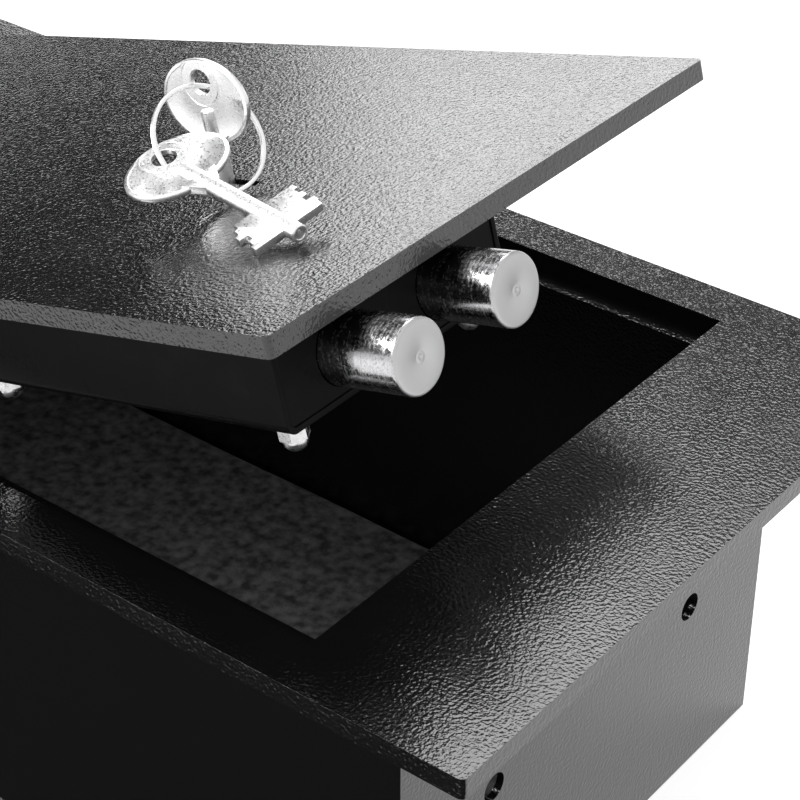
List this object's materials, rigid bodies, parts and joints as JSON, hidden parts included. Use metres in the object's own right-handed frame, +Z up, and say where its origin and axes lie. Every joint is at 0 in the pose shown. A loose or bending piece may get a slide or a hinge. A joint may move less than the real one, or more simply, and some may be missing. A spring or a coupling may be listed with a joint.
{
  "type": "floor safe",
  "caption": "In-floor safe: flanged steel box with a tilting plate lid, keyed rack-and-pinion bolt lock, keys on a ring and a floor mat.",
  "frame": {"origin": "centre of the underside of the box, on the surface that it stands on", "axes": "+X along the flange towards the bolt end, +Y towards the back, +Z up"},
  "size_m": [0.5, 0.25, 0.257],
  "materials": {
    "plate_black": "wrinkle-textured black powder coat, semi-gloss",
    "inside_black": "smooth black paint, satin",
    "mat_felt": "needled grey felt",
    "zinc_steel": "turned and bright zinc-plated steel",
    "lock_steel": "stamped steel, oiled",
    "lever_brass": "stamped brass",
    "key_nickel": "bright nickel plate"
  },
  "bodies": {
    "safe_body": {"frame_plate": "plate_black", "wall_right": "plate_black", "wall_left": "plate_black", "wall_front": "plate_black", "wall_back": "plate_black", "box_floor": "inside_black", "floor_mat": "mat_felt"},
    "lid": {"lid_plate": "plate_black", "retaining_tongue": "inside_black", "lock_cover": "inside_black", "end_plate_right": "inside_black", "end_plate_left": "inside_black", "cover_studs": "zinc_steel", "cover_nuts": "zinc_steel", "base_plate": "lock_steel", "base_posts": "lock_steel", "base_screws": "lock_steel", "lever_post": "lock_steel", "lever_spring": "zinc_steel"},
    "lever_pack": {"lever_1": "lever_brass", "lever_2": "lever_brass", "lever_3": "lever_brass", "lever_4": "lever_brass", "lever_5": "lever_brass"},
    "bolt_work": {"bolt_front": "zinc_steel", "bolt_rear": "zinc_steel", "bolt_bar": "lock_steel", "bolt_screws": "zinc_steel", "gear_rack": "lock_steel", "stump_arm": "lock_steel"},
    "rotor": {"key_rotor": "lock_steel"},
    "key": {"lock_key": "key_nickel"},
    "ring": {"key_ring": "key_nickel"},
    "loose_key": {"spare_key": "key_nickel"}
  },
  "joints": [
    {"name": "lid_tilt", "type": "hinge", "parent": "safe_body", "child": "lid", "pos_m": [-0.182, 0, 0.15], "axis": [0, 1, 0], "range_deg": [-60, 9.4]},
    {"name": "bolt_throw", "type": "slide", "parent": "lid", "child": "bolt_work", "axis": [0.9668, 0, 0.2554], "range_m": [-0.02199, 0]},
    {"name": "key_turn", "type": "hinge", "parent": "lid", "child": "rotor", "pos_m": [0.07421, -0.0145, 0.21769], "axis": [-0.2554, 0, 0.9668], "range_deg": [-180.1, 0]},
    {"name": "key_withdraw", "type": "slide", "parent": "rotor", "child": "key", "axis": [-0.2554, 0, 0.9668], "range_m": [0, 0.033]},
    {"name": "ring_swing", "type": "hinge", "parent": "key", "child": "ring", "pos_m": [0.0651, -0.0145, 0.24746], "axis": [-0.4407, -0.8631, 0.2467], "range_deg": [0, 20]},
    {"name": "loose_key_swing", "type": "hinge", "parent": "ring", "child": "loose_key", "pos_m": [0.07244, -0.0409, 0.23574], "axis": [0.255, -0.06, -0.9651], "range_deg": [0, 12]},
    {"name": "lever_lift", "type": "hinge", "parent": "lid", "child": "lever_pack", "pos_m": [0.05197, -0.05, 0.21182], "axis": [-0.2554, 0, 0.9668], "range_deg": [-3, 0], "stiffness_Nm_per_rad": 0.4, "springref_deg": 8.59}
  ],
  "couplings": [
    {"joint": "key_turn", "follows": "bolt_throw", "rad_per_m": 142.86}
  ]
}
